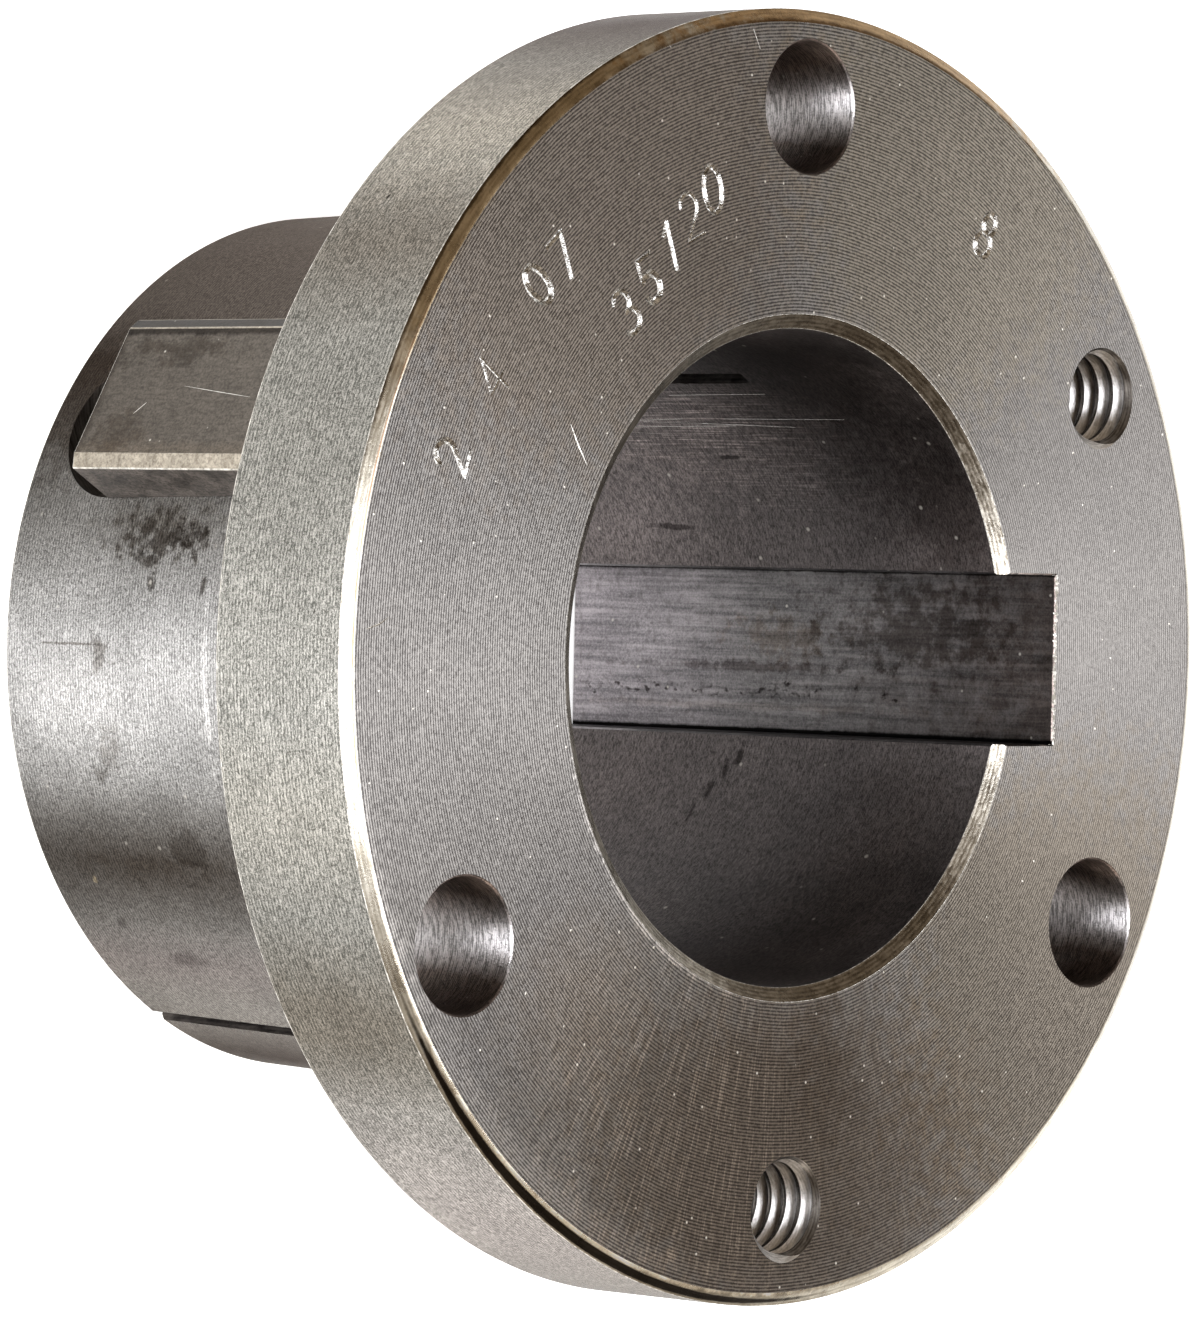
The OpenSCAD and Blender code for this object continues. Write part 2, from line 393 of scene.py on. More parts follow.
marks = dict(
    turnedFace=[
        # painted light and shade by sector round the face: a painted highlight at the keyway, where the tool
        # marks also fade into their mean, and lighter or darker warm-tinted sectors over the rest
        patch((37, 97, 49.2), (34, 30, 9), "#FFFFFF", 1.45, 0.8, 0.5, 0.2, plain=0.6),
        patch((38, 50, 49.2), (22, 22, 9), "#FFF7EA", 0.98, 1.0, 0.4, 0.2),
        patch((38, 155, 49.2), (21, 22, 9), "#FFFAEE", 1.12, 1.0, 0.4, 0.2),
        patch((38, -146, 49.2), (26, 22, 9), "#FFF6EC", 0.98, 1.0, 0.4, 0.2),
        patch((38, 2, 49.2), (25, 22, 9), "#FFF8F1", 0.88, 1.0, 0.5, 0.2),
        # a painted sparkle near the rim, and chatter of the cut
        patch((45.0, -36, 49.2), (28, 1.5, 9), "#FFFFFF", 1.5, 0.8, 0.8, 0.6),
        patch((40, 19, 49.2), (11, 8, 9), "#E8E2DA", 1.2, 0.6, 0.5, 0.2, grain=(0.16, 5, 9)),
        # oil stains
        patch((46.2, -125, 49.2), (24, 0.75, 9), "#B6A88F", 1.35, 0.5, 0.9, 0.5),
        patch((29.6, 7, 49.2), (4.6, 7.5, 9), "#D8D0C6", 0.9, 0.6, 0.8, 0.5),
        # a wide painted shade over the face at -12 degrees
        patch((36, -12, 49.2), (29, 18, 9), "#DED6CC", 0.84, 0.95, 0.6, 0.15),
        # scratched crosswise between -42 and 22 degrees
        patch((33, -42, 49.2), (9, 9, 9), "#FFF9F2", 1.3, 0.8, 0.9, 0.1),
        patch((34.5, -19, 49.2), (18, 14, 9), "#FFFFFF", 1.9, 0.9, 0.5, 0.2, grain=(0.16, 6, 9)),
        patch((34.5, 22, 49.2), (8, 14, 9), "#FFFFFF", 1.7, 0.45, 0.5, 0.2, grain=(0.16, 6, 9)),
        # painted highlights along the edges: a bright line at the outer edge of the bore chamfer and one at
        # the inner edge of the rim chamfer
        patch((25.0, -42, 49.2), (13, 0.28, 9), "#FFFFFF", 2.2, 0.9, 0.6, 0.8),
        patch((45.5, -70, 49.2), (12, 0.35, 9), "#FFFFFF", 1.5, 0.8, 0.8, 0.7),
    ],
    rimChamfer=[
        # tan and brown film, from -95 round to 175 degrees
        patch((45.98, -95, 49.2), (34, 0.1, 9), "#A5836C", 1.0, 0.8, 0.5, 0.1),
        patch((46.4, -137, 48.8), (23, 2, 9), "#B39F80", 1.2, 0.9, 0.4, 0.1),
        patch((46.83, -132, 48.7), (26, 0.3, 9), "#776C60", 0.75, 0.85, 0.4, 0.2),
        patch((46.4, 172, 48.9), (25, 2, 9), "#CBAE88", 1.5, 0.9, 0.4, 0.3),
        patch((45.85, 175, 49.2), (40, 0.33, 9), "#8A8178", 1.1, 0.85, 0.5, 0.3),
        # painted shade and painted highlights between -40 and 24 degrees: a near black band on the chamfer, a
        # bright line along its inner edge, and a brighter stretch at 24 degrees
        patch((46.43, -28, 48.9), (28, 0.31, 9), "#3F332B", 0.4, 0.97, 0.2, 0.06),
        patch((45.93, -40, 49.1), (34, 0.26, 9), "#FFFFFF", 2.0, 0.95, 0.4, 0.3),
        patch((46.4, 24, 48.9), (26, 2, 9), "#FFFFFF", 1.6, 0.9, 0.4, 0.3),
    ],
    boreChamfer=[
        # browned
        patch((24.3, -175, 49), (34, 3, 2), "#B5AEA6", 0.66, 0.95, 0.3, 0.2),
        patch((24.3, 14, 49), (18, 3, 2), "#B9B0A4", 0.76, 0.95, 0.4, 0.2),
    ],
    turnedRim=[
        # painted light and shade: lighter and darker bands round the rim
        patch((46.83, -127.5, 43), (8, 9, 30), "#FFF6EE", 0.74, 0.85, 0.9, 0.1),
        patch((46.83, -141.5, 43), (10, 9, 30), "#FFFBF6", 1.65, 0.9, 0.85, 0.1),
        patch((46.83, -165.5, 45), (10, 9, 30), "#FFEBE8", 0.25, 0.95, 0.85, 0.05),
        patch((46.83, -76, 40), (7, 9, 30), "#FFFDFA", 1.15, 0.9, 0.9, 0.1),
        patch((46.83, -57, 40), (8, 9, 30), "#FBF3EA", 0.72, 0.95, 0.8, 0.1),
        patch((46.83, -32, 43), (17, 9, 30), "#F6F3F8", 1.75, 0.85, 0.7, 0.1),
        # a nick
        patch((46.83, -132.6, 40.4), (0.25, 1, 0.12), "#2A2521", 0.5, 0.9, 0.3, 0.2),
    ],
    turnedTaper=[
        # painted light and shade: lighter and darker bands round the barrel
        patch((32.9, -76, 14), (8, 9, 16), "#FFFFFF", 1.2, 0.9, 0.9, 0.1),
        patch((33.0, -60.5, 12), (6.4, 9, 40), "#8B8178", 1.0, 0.95, 0.95, 0.1),
        patch((32.8, -44, 9), (4.5, 9, 40), "#E9E2E4", 1.4, 0.7, 0.9, 0.15),
        patch((32.8, -18, 9), (9, 9, 40), "#8D827C", 0.62, 0.9, 0.95, 0.1),
        patch((32.8, -150, 9), (19, 9, 40), "#A0968F", 1.5, 0.9, 0.3, 0.1),
        patch((32.6, -124, 2), (9, 9, 14), "#A3978D", 0.8, 0.85, 0.6, 0.2),
        # pitting below the key
        patch((33.0, -105.5, 16), (2.8, 2, 9), "#B0A9A1", 0.95, 0.8, 0.9, 0.4),
        patch((33.0, -103.2, 15.8), (1.9, 2, 4.2), "#8F867E", 0.8, 0.75, 0.7, 1.0),
        patch((33.0, -103.8, 19.2), (1.2, 2, 2.0), "#887F77", 0.8, 0.75, 0.7, 0.9),
        patch((32.9, -100.6, 14.6), (1.0, 2, 1.5), "#8B827A", 0.8, 0.7, 0.7, 0.9),
        patch((33.0, -97.6, 15.7), (0.7, 2, 0.5), "#7B736C", 0.8, 0.8, 0.5, 0.8),
        patch((33.1, -98.0, 21.3), (0.8, 2, 0.5), "#8B837C", 0.8, 0.8, 0.5, 0.8),
        # stains and a fine dark line
        patch((32.8, -88.5, 10.6), (1.2, 2, 1.6), "#938B84", 0.85, 0.6, 0.7, 0.8),
        patch((32.8, -89.8, 7.0), (0.12, 2, 4.2), "#A0978F", 0.8, 0.7, 0.5, 0.5),
        patch((32.8, -76.0, 11.0), (1.9, 2, 2.2), "#ABA49D", 0.85, 0.5, 0.8, 0.9),
        patch((32.8, -73.4, 9.5), (0.9, 2, 0.9), "#8E867E", 0.8, 0.5, 0.7, 0.9),
        patch((33.0, -63.2, 17.0), (1.8, 2, 2.1), "#A79E96", 0.8, 0.5, 0.3, 0.3),
        patch((32.8, -45.0, 10.8), (0.8, 2, 2.4), "#9C9496", 0.85, 0.5, 0.5, 0.5),
        patch((32.8, -50.5, 5.8), (0.7, 2, 0.9), "#8C8484", 0.85, 0.5, 0.5, 0.6),
        # a painted highlight on the side of the barrel at -86 degrees, and a thin bright line across it
        patch((32.9, -86, 6), (12.5, 9, 12), "#FFFFFF", 1.25, 0.8, 0.8, 0.3),
        patch((33.2, -85, 21.8), (9, 9, 0.34), "#FFFFFF", 1.6, 0.8, 0.6, 0.5),
        # a chip of swarf
        patch((32.7, -57.5, 5.1), (0.3, 2, 0.35), "#FFF6DC", 3.0, 0.9, 0.4, 0.8),
    ],
    boredWall=[
        # painted light and shade on the oiled wall: lighter fields deep in the bore, darker ones near the
        # face
        patch((23.8, 136, 24), (7.5, 9, 17), "#F6F2F0", 1.65, 0.8, 0.9, 0.3),
        patch((23.8, 115, 11), (9, 9, 17), "#F4F2F2", 2.1, 0.9, 0.9, 0.2),
        patch((23.8, 64, 12), (7, 9, 12), "#F2EFEE", 1.3, 0.7, 0.9, 0.2),
        patch((23.8, 150, 40), (15, 9, 15), "#A79F9B", 0.8, 0.9, 0.8, 0.2),
        patch((23.8, 118, 46), (14, 9, 12), "#B5ACA8", 0.85, 0.9, 0.8, 0.2),
        patch((23.8, 40, 42), (18, 9, 10), "#CFC7C1", 0.95, 0.8, 0.8, 0.2),
        # scoring by the shaft
        patch((23.8, 139, 22), (5.0, 9, 18), "#FFFFFF", 2.7, 0.9, 0.6, 0.3, grain=(0.15, 9, 6)),
        patch((23.8, 126, 30), (5.0, 9, 12), "#FFFFFF", 1.8, 0.8, 0.6, 0.3, grain=(0.16, 9, 5)),
        # dark nicks
        patch((23.8, 128.5, 25.9), (0.22, 9, 1.3), "#4A413D", 0.6, 0.8, 0.5, 0.6),
        patch((23.8, 113.5, 17.5), (0.3, 9, 3.2), "#55494A", 0.7, 0.7, 0.6, 0.5),
        patch((23.8, 70.5, 24.0), (0.9, 9, 0.5), "#5A4F4A", 0.7, 0.8, 0.6, 0.6),
        patch((23.8, 67.0, 23.1), (0.9, 9, 0.35), "#5A4F4A", 0.7, 0.8, 0.6, 0.6),
        patch((23.8, 63.2, 22.1), (1.0, 9, 0.4), "#5A4F4A", 0.7, 0.7, 0.6, 0.6),
        patch((23.8, 58.5, 21.1), (1.2, 9, 0.35), "#6A5F5A", 0.7, 0.7, 0.6, 0.6),
    ],
    broachedKeyway=[
        # painted light and shade: bright at the far end, a darker brown at the mouth
        patch((29.4, 90, 0), (everywhere, 9, 20), "#F7F4FA", 2.4, 0.85, 0.95, 0.1),
        patch((29.4, 90, 50), (everywhere, 9, 27), "#8C827C", 1.3, 0.95, 0.9, 0.25),
        # stains and streaks
        patch((29.4, 94, 36), (3.5, 9, 10), "#A0958D", 0.9, 0.6, 0.6, 0.9),
        patch((29.4, 92, 22), (2.0, 9, 5.0), "#C2B8AC", 1.25, 0.7, 0.6, 0.8),
        patch((29.6, 83.8, 14), (0.55, 9, 15), "#6E6462", 0.7, 0.9, 0.4, 0.9, grain=(0.5, 9, 0.7)),
        patch((29.5, 87.5, 20), (0.45, 9, 14), "#948A88", 0.85, 0.7, 0.6, 0.7),
        patch((29.6, 81.5, 17), (0.35, 9, 22), "#E8E4E0", 1.35, 0.7, 0.5, 0.6),
        # painted shade in the corners
        patch((30.1, 77.8, 25), (0.42, 9, 60), "#241F1D", 0.4, 1.0, 0.4, 0.1),
        patch((30.1, 102.2, 25), (0.2, 9, 60), "#3A332F", 0.5, 0.9, 0.5, 0.2),
        patch((26.6, 76.3, 25), (1.1, 3.2, 60), "#5A5450", 0.4, 1.0, 0.2, 0.0),
        # a painted highlight on the burr at the mouth
        patch((29.5, 90, 49.2), (everywhere, 9, 0.14), "#FFFFFF", 7.0, 0.9, 0.4, 0.4),
    ],
    drilledHole=[
        # painted shade: the wall darkened at its -X and +X sides, leaving a bright band across it
        patch((4.8, 180, 43), (7.2, 9, 20), "#635A54", 3.3, 1.0, 0.45, 0.05),
        patch((4.8, 0, 43), (7.3, 9, 20), "#625953", 1.9, 1.0, 0.3, 0.04),
    ],
    drawnTop=[
        # a painted dark margin along one side of the top and a painted bright margin along the other,
        # handling stains between, a dark end
        patch((36.4, 99.2, 19.5), (1.3, 9, everywhere), "#A89F96", 0.6, 0.9, 0.2, 0.1),
        patch((36.7, 95.4, 15.5), (1.6, 9, 6), "#C2BAB2", 0.9, 0.8, 0.8, 0.9),
        patch((36.7, 84, 13), (2.4, 9, 3), "#D5CCC3", 0.95, 0.8, 0.8, 0.7),
        patch((36.7, 82.4, 19), (0.8, 9, everywhere), "#F4EFE8", 1.35, 0.8, 0.9, 0.3),
        patch((36.7, 90, 9.2), (everywhere, 9, 0.8), "#B9AFA6", 0.8, 0.8, 0.9, 0.3),
    ],
)


# the values of a noise or a distance that each band runs between
bands = dict(
    tool={"From Min": 0.32, "From Max": 0.68},
    cloud={"From Min": 0.3, "From Max": 0.7},
    streak={"From Min": 0.52, "From Max": 0.66},
    pore={"From Min": 0.6, "From Max": 0.7},
    speck={"From Min": 0.1, "From Max": 0.04},
)
# what all finishes share: dirt in the pores, bright nicks, and how far mottle moves the roughness
steelCommon = dict(dirt="#2F2A26", nick="#E4DED2", nickShare=0.4, poreDrop=-1.5, nickRise=2.0, roughStep=0.05)


def marked(tree, place, rag, colour, mark, mean):  # lays one patch over the colour
    radius, degrees, height = mark["at"]
    ahead, aside = polar(1, degrees), polar(1, degrees + 90)
    turn = addNode(tree, "Math", {
        0: addNode(tree, "VectorMath", {0: place, 1: aside}, operation="DOT_PRODUCT").node.outputs["Value"],
        1: addNode(tree, "VectorMath", {0: place, 1: ahead}, operation="DOT_PRODUCT").node.outputs["Value"],
    }, operation="ARCTAN2")
    turn = addNode(tree, "Math", {0: turn, 1: radius}, operation="MULTIPLY")
    flat = addNode(tree, "VectorMath", {0: place, 1: (1, 1, 0)}, operation="MULTIPLY")
    away = addNode(tree, "VectorMath", {0: flat}, operation="LENGTH").node.outputs["Value"]
    up = addNode(tree, "SeparateXYZ", {"Vector": place}).node.outputs["Z"]
    spot = addNode(tree, "CombineXYZ", {"X": turn, "Y": away, "Z": up})
    spot = addNode(tree, "VectorMath", {0: spot, 1: (0, radius, height)}, operation="SUBTRACT")
    oval = addNode(tree, "VectorMath", {0: spot, 1: mark["size"]}, operation="DIVIDE")
    gap = addNode(tree, "VectorMath", {0: oval}, operation="LENGTH").node.outputs["Value"]
    gap = addNode(tree, "Math", {0: rag, 1: mark["ragged"], 2: gap}, operation="MULTIPLY_ADD")
    cover = addNode(tree, "MapRange", {
        "Value": gap, "From Min": 1.0, "From Max": 1 - mark["soft"], "To Max": mark["amount"]})
    if mark["grain"]:
        fine = addNode(tree, "VectorMath", {0: spot, 1: mark["grain"]}, operation="DIVIDE")
        fine = addNode(tree, "TexNoise", {"Vector": fine, "Scale": 1.0, "Detail": 1.0})
        fine = addNode(tree, "MapRange", {"Value": fine, **bands["streak"]})
        cover = addNode(tree, "Math", {0: cover, 1: fine}, operation="MULTIPLY")
    tint = [c * mark["gain"] for c in linear(mark["tint"])[:3]]
    over = addNode(tree, "VectorMath", {0: colour, 1: tint}, operation="MULTIPLY")
    if mark["plain"]:  # rubbed smooth: the tool marks fade into their mean
        over = addNode(tree, "Mix", {"Factor": mark["plain"], "A": over, "B": mean}, data_type="RGBA")
    return addNode(tree, "Mix", {"Factor": cover, "A": colour, "B": over}, data_type="RGBA")


def machinedSteel(name):
    look = {**usual, **finishes[name]}
    steel = bpy.data.materials.new(name)
    steel.use_nodes = True
    tree = steel.node_tree
    tree.nodes.clear()
    place = addNode(tree, "Attribute", {}, attribute_name="cutPlace").node.outputs["Vector"]
    plain = addNode(tree, "TexCoord", {}).node.outputs["Object"]
    plain = addNode(tree, "VectorMath", {0: plain, "Scale": 1 / metre}, operation="SCALE")
    parts = addNode(tree, "SeparateXYZ", {"Vector": place}).node.outputs
    flat = addNode(tree, "VectorMath", {0: place, 1: (1, 1, 0)}, operation="MULTIPLY")
    if look["cut"] == "straight":  # across the tool marks, and along them
        acrossMarks = addNode(tree, "Math", {0: parts["X"], 1: parts["Y"]}, operation="ADD")
        run = addNode(tree, "Math", {0: parts["Z"], 1: look["bead"]}, operation="DIVIDE")
        ringX, ringY = run, 0.0
    else:
        acrossMarks = parts["Z"]
        if look["cut"] == "rings":
            acrossMarks = addNode(tree, "VectorMath", {0: flat}, operation="LENGTH").node.outputs["Value"]
        unit = addNode(tree, "VectorMath", {0: flat}, operation="NORMALIZE")
        turn = look["nominal"] / look["bead"]
        unit = addNode(tree, "VectorMath", {0: unit, "Scale": turn}, operation="SCALE")
        ring = addNode(tree, "SeparateXYZ", {"Vector": unit}).node.outputs
        ringX, ringY = ring["X"], ring["Y"]
    level = addNode(tree, "Math", {0: acrossMarks, 1: look["pitch"]}, operation="DIVIDE")
    lay = addNode(tree, "CombineXYZ", {"X": ringX, "Y": ringY, "Z": level})
    drift = addNode(tree, "TexNoise", {"Vector": lay, "Scale": 0.12, "Detail": 1.0})
    feed = addNode(tree, "Math", {0: acrossMarks, 1: look.get("feed", look["pitch"])}, operation="DIVIDE")
    drift = addNode(tree, "Math", {0: drift, 1: 0.5, 2: feed}, operation="MULTIPLY_ADD")
    lines = addNode(tree, "Math", {0: drift, 1: 2 * math.pi}, operation="MULTIPLY")
    lines = addNode(tree, "Math", {0: lines}, operation="SINE")
    lines = addNode(tree, "Math", {0: lines, 1: 0.5, 2: 0.5}, operation="MULTIPLY_ADD")
    beads = addNode(tree, "TexNoise", {"Vector": lay, "Scale": 1.0, "Detail": 2.0, "Roughness": 0.6})
    beads = addNode(tree, "MapRange", {"Value": beads, **bands["tool"]})
    grit = addNode(tree, "TexNoise", {
        "Vector": plain, "Scale": 1 / look["gritSize"], "Detail": 2.0, "Roughness": 0.7})
    grit = addNode(tree, "MapRange", {"Value": grit, **bands["tool"]})
    marking = addNode(tree, "Math", {0: grit, 1: look["grit"]}, operation="MULTIPLY")
    marking = addNode(tree, "Math", {0: beads, 1: look["beads"], 2: marking}, operation="MULTIPLY_ADD")
    marking = addNode(tree, "Math", {0: lines, 1: look["lines"], 2: marking}, operation="MULTIPLY_ADD")
    marking = addNode(tree, "MapRange", {
        "Value": marking, "From Min": 0.5 - look["soft"], "From Max": 0.5 + look["soft"]})
    mottle = addNode(tree, "TexNoise", {
        "Vector": plain, "Scale": 1 / look["mottleSize"], "Detail": 4.0, "Roughness": 0.6})
    mottle = addNode(tree, "MapRange", {"Value": mottle, **bands["cloud"]})
    pores = addNode(tree, "TexNoise", {"Vector": plain, "Scale": 1 / look["poreSize"], "Detail": 1.0})
    pores = addNode(tree, "MapRange", {"Value": pores, **bands["pore"], "To Max": look["pore"]})
    cells = addNode(tree, "TexVoronoi", {"Vector": plain, "Scale": 1 / look["speckSize"]})
    gap, cell = cells.node.outputs["Distance"], cells.node.outputs["Color"]
    pick = addNode(tree, "SeparateXYZ", {"Vector": cell}).node.outputs["X"]
    pick = addNode(tree, "Math", {0: pick, 1: 1 - steelCommon["nickShare"]}, operation="GREATER_THAN")
    specks = addNode(tree, "MapRange", {"Value": gap, **bands["speck"], "To Max": look["speck"]})
    specks = addNode(tree, "Math", {0: specks, 1: pick}, operation="MULTIPLY")
    crest, valley = linear(look["crest"]), linear(look["valley"])
    colour = addNode(tree, "Mix", {"Factor": marking, "A": valley, "B": crest}, data_type="RGBA")
    shade = addNode(tree, "MapRange", {
        "Value": mottle, "To Min": 1 - look["mottle"], "To Max": 1 + look["mottle"]})
    colour = addNode(tree, "VectorMath", {0: colour, "Scale": shade}, operation="SCALE")
    dirt, nick = linear(steelCommon["dirt"]), linear(steelCommon["nick"])
    colour = addNode(tree, "Mix", {"Factor": pores, "A": colour, "B": dirt}, data_type="RGBA")
    if name in marks:
        rag = addNode(tree, "TexNoise", {"Vector": plain, "Scale": 0.9, "Detail": 4.0, "Roughness": 0.65})
        rag = addNode(tree, "MapRange", {"Value": rag, **bands["cloud"], "To Min": -1.0})
        mean = [(a + b) / 2 for a, b in zip(crest, valley)]
        for mark in marks[name]:
            colour = marked(tree, place, rag, colour, mark, mean)
    colour = addNode(tree, "Mix", {"Factor": specks, "A": colour, "B": nick}, data_type="RGBA")
    low, high = look["rough"] - steelCommon["roughStep"], look["rough"] + steelCommon["roughStep"]
    rough = addNode(tree, "MapRange", {"Value": mottle, "To Min": low, "To Max": high})
    poreDrop, nickRise = steelCommon["poreDrop"], steelCommon["nickRise"]
    bumpy = addNode(tree, "Math", {0: pores, 1: poreDrop, 2: marking}, operation="MULTIPLY_ADD")
    bumpy = addNode(tree, "Math", {0: specks, 1: nickRise, 2: bumpy}, operation="MULTIPLY_ADD")
    bump = addNode(tree, "Bump", {"Height": bumpy, "Distance": look["depth"] * metre, "Strength": 1.0})
    grain = flat
    if look["cut"] != "rings":
        grain = addNode(tree, "CombineXYZ", {"X" if look["cut"] == "straight" else "Z": 1.0})
    grain = addNode(
        tree, "VectorTransform", {"Vector": grain},
        vector_type="VECTOR", convert_from="OBJECT", convert_to="WORLD")
    surface = addNode(tree, "BsdfPrincipled", {
        "Base Color": colour, "Metallic": 1.0, "Roughness": rough, "Anisotropic": look["spread"],
        "Specular Tint": linear(look["edge"]), "Tangent": grain, "Normal": bump})
    addNode(tree, "OutputMaterial", {"Surface": surface})
    return steel


def polar(radius, degrees, z=0.0):
    a = math.radians(degrees)
    return np.array((radius * math.cos(a), radius * math.sin(a), z))


steels = [machinedSteel(zone) for zone in zones]
bushing = turnedBlank()
print("blank turned:", len(bushing.data.polygons), "faces")


# keyway in the bore, broached right through
keyway = dict(halfWidth=6.35, floor=29.4325, cornerBreak=0.1, mouthBreak=0.14, skirt=(0.85, 0.75))


def keywayOutline(grow, z):
    half, top = keyway["halfWidth"] + grow, keyway["floor"] + grow
    lip = math.sqrt(body["boreRadius"] ** 2 - keyway["halfWidth"] ** 2)
    skirtWide, skirtDeep = keyway["skirt"]  # the part of the cutter that hangs in the open bore
    side = [(half + skirtWide, lip - skirtDeep), (half, lip + keyway["cornerBreak"]), (half, top)]
    return [(x, y, z) for x, y in side] + [(-x, y, z) for x, y in side[::-1]]


def flared(outline, low, high, grow):  # levels of a through cut with its edges broken at both faces
    past = 0.5  # how far the cutter runs past each face
    return [
        outline(grow + past, low - past), outline(0, low + grow),
        outline(0, high - grow), outline(grow + past, high + past),
    ]


tool = loft("keywayTool", flared(keywayOutline, 0, body["length"], keyway["mouthBreak"]), "broachedKeyway")
cut(bushing, tool)

# the broach has left a ragged burr along the floor of the keyway, at the mouth, painted bright: partly the
# burr's own metal, partly a painted highlight
burr = dict(wide=(0.14, 0.36), deep=(0.06, 0.14), steps=56, past=0.3, pastSide=0.05, pastTop=0.2)
floorY, top, past = keyway["floor"], body["length"], burr["past"]
half = keyway["halfWidth"] + burr["pastSide"]
sections = []
for x in np.linspace(-half, half, burr["steps"]):
    wide, deep = rng.uniform(*burr["wide"]), rng.uniform(*burr["deep"])
    slope = deep / wide
    low = (x, floorY - past, top - deep - past * slope)
    far = (x, floorY + wide + past, top + past * slope)
    sections.append([low, far, (x, floorY - past, top + past * slope + burr["pastTop"])])
cut(bushing, loft("burrTool", sections, "brokenEdge"))

# saw cut through both walls, its sides a little ragged, the corners of its end eased
slit = dict(width=1.4, end=33.1, angle=150, ragged=0.0175, steps=90, corner=(0.12, 0.25), past=3, reach=60)
cornerWide, cornerDeep = slit["corner"]
levels = np.concatenate(([-slit["past"]], np.linspace(0, slit["end"] - cornerDeep, slit["steps"])))
half = slit["width"] / 2
left = -half + rng.normal(0, slit["ragged"], len(levels))
right = half + rng.normal(0, slit["ragged"], len(levels))
section = list(zip(right, levels))
section += [(half - cornerWide, slit["end"]), (cornerWide - half, slit["end"])]
section += list(zip(left[::-1], levels[::-1]))
along, across = polar(1, slit["angle"]), polar(1, slit["angle"] + 90)
ends = [
    [along * reach + across * t + (0, 0, z) for t, z in section]
    for reach in (-slit["reach"], slit["reach"])
]
cut(bushing, loft("slitTool", ends, "sawnSlit"))

# pocket for the key, end milled, full round at both ends
pocket = dict(halfWidth=6.37, low=9.17, high=29.73, floor=29.17, reach=40, angle=240, steps=41)
keyAhead, keyAside = polar(1, pocket["angle"]), polar(1, pocket["angle"] + 90)
half = pocket["halfWidth"]
arc = np.radians(np.linspace(0, 180, pocket["steps"]))
stadium = [(half * math.cos(a), pocket["high"] + half * math.sin(a)) for a in arc]
stadium += [(-half * math.cos(a), pocket["low"] - half * math.sin(a)) for a in arc]
levels = [
    [keyAhead * r + keyAside * t + (0, 0, z) for t, z in stadium]
    for r in (pocket["floor"], pocket["reach"])
]
cut(bushing, loft("pocketTool", levels, "milledPocket"))

# holes through the flange
holes = dict(
    circle=39.8, clearRadius=4.8, clearBreak=0.14, clearAngles=(180, 300, 60), tapAngles=(120, 0), around=96)
thread = dict(minor=3.3, major=3.97, pitch=1.411, around=64, sink=3.78, lead=3.03, past=4, outerFlank=6)


def circleAt(centre, radius, z):
    angles = np.arange(holes["around"]) * 2 * math.pi / holes["around"]
    return [centre + (radius * math.cos(a), radius * math.sin(a), z) for a in angles]


def holeTool(angle, radius, grow, zone):
    centre = polar(holes["circle"], angle)
    levels = flared(lambda extra, z: circleAt(centre, radius + extra, z), flangeBack, body["length"], grow)
    return loft("holeTool", levels, zone)


for angle in holes["clearAngles"]:
    cut(bushing, holeTool(angle, holes["clearRadius"], holes["clearBreak"], "drilledHole"))


def threadTool(angle):
    # a tap's own shape: rows follow the helix, so the crests and roots stay crisp; each row is a share of
    # the pitch and of the depth
    rows = [(0.0, 1), (0.08, 1), (0.16, 1), (0.4, 0.04), (0.46, 0), (0.57, 0), (0.63, 0.04), (0.96, 1)]
    pitch, around = thread["pitch"], thread["around"]
    turns = int((body["flangeThick"] + thread["past"]) / pitch) + 1
    low = flangeBack - thread["lead"]
    centre = polar(holes["circle"], angle)
    rings = []
    for row in range(turns * len(rows) + 1):
        phase, depth = rows[row % len(rows)]
        z = low + (row // len(rows) + phase) * pitch
        r = thread["minor"] + depth * (thread["major"] - thread["minor"])
        rings.append((r, z))
    points = []
    for r, z in rings:
        for a in range(around):
            t = 2 * math.pi * a / around
            points.append(centre + (r * math.cos(t), r * math.sin(t), z + pitch * a / around))
    last, step = len(rings), len(rows)
    ofRow = ["tappedFlankHighlight" if i % step == thread["outerFlank"] else "threadCrest" for i in range(last)]
    faces, finish = [], []
    for i in range(last - 1):
        for a in range(around - 1):
            finish.append(ofRow[i])
            faces.append((i * around + a, i * around + a + 1, (i + 1) * around + a + 1, (i + 1) * around + a))
    for i in range(last - 1 - step):  # the seam joins one turn to the next
        a = around - 1
        finish.append(ofRow[i])
        faces.append((i * around + a, (i + step) * around, (i + step + 1) * around, (i + 1) * around + a))
    base = list(range(around)) + [i * around for i in range(step, 0, -1)]
    top = [(last - 1) * around + a for a in range(around)]
    top = [(last - 1 - i) * around + around - 1 for i in range(step, 0, -1)] + top[::-1]
    lowest, highest = len(points), len(points) + 1
    points.append(centre + (0, 0, low))
    points.append(centre + (0, 0, rings[-1][1] + pitch))
    for loop, tip in ((base, lowest), (top, highest)):
        for a in range(len(loop)):
            finish.append("threadCrest")
            faces.append((loop[a], loop[(a + 1) % len(loop)], tip))
    return newMesh("threadTool", points, faces, finish)


for angle in holes["tapAngles"]:
    cut(bushing, threadTool(angle))
    cut(bushing, holeTool(angle, thread["minor"], thread["sink"] - thread["minor"], "countersink"))
print("holes drilled and tapped:", len(bushing.data.polygons), "faces")

# plain digits, punched by hand into the face, tops outward
digits = dict(height=3.3, width=2.0, stroke=0.58, depth=0.19, end=0.6)


def bend(cx, cy, rx, ry, start, stop, count):
    turns = np.radians(np.linspace(start, stop, count))
    return [(cx + rx * math.cos(a), cy + ry * math.sin(a)) for a in turns]


